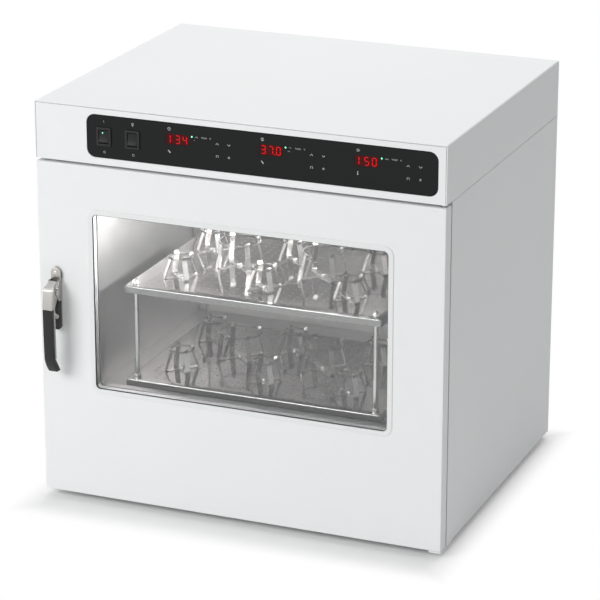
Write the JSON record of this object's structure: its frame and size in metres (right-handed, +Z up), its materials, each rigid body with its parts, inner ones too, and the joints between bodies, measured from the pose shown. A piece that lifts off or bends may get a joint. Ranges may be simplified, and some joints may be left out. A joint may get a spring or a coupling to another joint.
{
  "type": "incubated benchtop shaker",
  "caption": "White heated cabinet with a hinged window door, a two-tier orbiting platform with spring clamps, and a control hood on top.",
  "frame": {"origin": "on the bench surface, under the middle of the bounding box", "axes": "+X to the right as seen from the front, +Y from the door to the back, +Z up"},
  "size_m": [0.7, 0.6036, 0.683],
  "materials": {
    "white_enamel": "powder coated, satin",
    "window_band": "satin white",
    "stainless_steel": "brushed",
    "bright_steel": "polished",
    "zinc_steel": "zinc plated",
    "alloy": "machined",
    "iron": "painted dark",
    "satin_nickel": "satin nickel",
    "black_panel": "satin black",
    "black_plastic": "fine matte",
    "display_red": "dark red filter",
    "board_green": "lacquered",
    "black_rubber": "matte",
    "grey_rubber": "matte",
    "foam": "mineral wool board",
    "clear_glass": "clear",
    "bronze": "sintered"
  },
  "bodies": {
    "cabinet": {"outer_shell": "white_enamel", "front_frame": "white_enamel", "latch_keeper": "zinc_steel", "chamber_liner": "stainless_steel", "insulation": "foam", "deck_plate": "zinc_steel", "rubber_feet": "black_rubber", "rear_panels": "white_enamel", "hood_cover": "white_enamel", "hood_front_plate": "white_enamel", "control_panel": "black_panel", "display_modules": "display_red", "control_board": "board_green", "switch_housings": "black_plastic", "power_inlet": "black_plastic", "power_supply": "alloy", "hinge_pins": "zinc_steel", "hinge_bracket": "zinc_steel", "drive_chassis": "zinc_steel", "bearing_housings": "alloy", "shaft_bearings": "bright_steel", "shaft_seals": "black_rubber", "drive_motor": "iron", "drive_belt": "black_rubber", "air_baffle": "stainless_steel", "fan_motor": "iron", "heater_coil": "stainless_steel", "temperature_probe": "stainless_steel"},
    "door": {"door_skin": "white_enamel", "door_inner_panel": "white_enamel", "window_trim": "window_band", "window_panes": "clear_glass", "glass_spacer": "alloy", "door_core": "foam", "hinge_blocks": "zinc_steel", "hinge_bushes": "bronze", "door_gasket": "grey_rubber", "latch_base": "satin_nickel", "latch_cover": "black_plastic", "latch_pin": "bright_steel"},
    "latch": {"latch_lever": "satin_nickel", "latch_grip": "black_plastic"},
    "mains_rocker": {"mains_rocker": "black_plastic"},
    "lamp_rocker": {"lamp_rocker": "black_plastic"},
    "crank": {"main_crank": "bright_steel", "main_pulley": "alloy", "counterweight": "iron"},
    "left_idler": {"left_idler_crank": "bright_steel"},
    "right_idler": {"right_idler_crank": "bright_steel"},
    "rear_idler": {"rear_idler_crank": "bright_steel"},
    "motor_rotor": {"motor_pulley": "alloy"},
    "platform": {"platform_carriage": "alloy", "carriage_bearings": "bright_steel", "platform_trays": "stainless_steel", "tray_posts": "stainless_steel", "post_nuts": "bright_steel", "finger_clamps": "bright_steel", "clamp_rings": "bright_steel", "clamp_screws": "bright_steel"},
    "fan": {"fan_impeller": "alloy"}
  },
  "joints": [
    {"name": "door_hinge", "type": "hinge", "parent": "cabinet", "child": "door", "pos_m": [0.3415, -0.25075, 0.3], "axis": [0, 0, 1], "range_deg": [0, 110]},
    {"name": "latch_lever_hinge", "type": "hinge", "parent": "door", "child": "latch", "pos_m": [-0.3177, -0.28295, 0.3754], "axis": [-1, 0, 0], "range_deg": [0, 40]},
    {"name": "mains_rocker_tilt", "type": "hinge", "parent": "cabinet", "child": "mains_rocker", "pos_m": [-0.2273, -0.26075, 0.6358], "axis": [1, 0, 0], "range_deg": [0, 14]},
    {"name": "lamp_rocker_tilt", "type": "hinge", "parent": "cabinet", "child": "lamp_rocker", "pos_m": [-0.1773, -0.26075, 0.6358], "axis": [1, 0, 0], "range_deg": [0, 14]},
    {"name": "drive_spin", "type": "hinge", "parent": "cabinet", "child": "crank", "pos_m": [0, -0.03425, 0.14], "axis": [0, 0, 1], "continuous": true},
    {"name": "platform_pivot", "type": "hinge", "parent": "crank", "child": "platform", "pos_m": [0, -0.04425, 0.192], "axis": [0, 0, 1], "continuous": true},
    {"name": "left_idler_spin", "type": "hinge", "parent": "cabinet", "child": "left_idler", "pos_m": [-0.15, -0.12425, 0.14], "axis": [0, 0, 1], "continuous": true},
    {"name": "right_idler_spin", "type": "hinge", "parent": "cabinet", "child": "right_idler", "pos_m": [0.15, -0.12425, 0.14], "axis": [0, 0, 1], "continuous": true},
    {"name": "rear_idler_spin", "type": "hinge", "parent": "cabinet", "child": "rear_idler", "pos_m": [0, 0.07575, 0.14], "axis": [0, 0, 1], "continuous": true},
    {"name": "motor_spin", "type": "hinge", "parent": "cabinet", "child": "motor_rotor", "pos_m": [0.14, -0.03425, 0.06], "axis": [0, 0, 1], "continuous": true},
    {"name": "fan_spin", "type": "hinge", "parent": "cabinet", "child": "fan", "pos_m": [0, 0.26175, 0.368], "axis": [0, 1, 0], "continuous": true}
  ],
  "couplings": [
    {"joint": "drive_spin", "follows": "platform_pivot", "ratio": -1},
    {"joint": "left_idler_spin", "follows": "platform_pivot", "ratio": -1},
    {"joint": "right_idler_spin", "follows": "platform_pivot", "ratio": -1},
    {"joint": "rear_idler_spin", "follows": "platform_pivot", "ratio": -1},
    {"joint": "motor_spin", "follows": "platform_pivot", "ratio": -3}
  ]
}
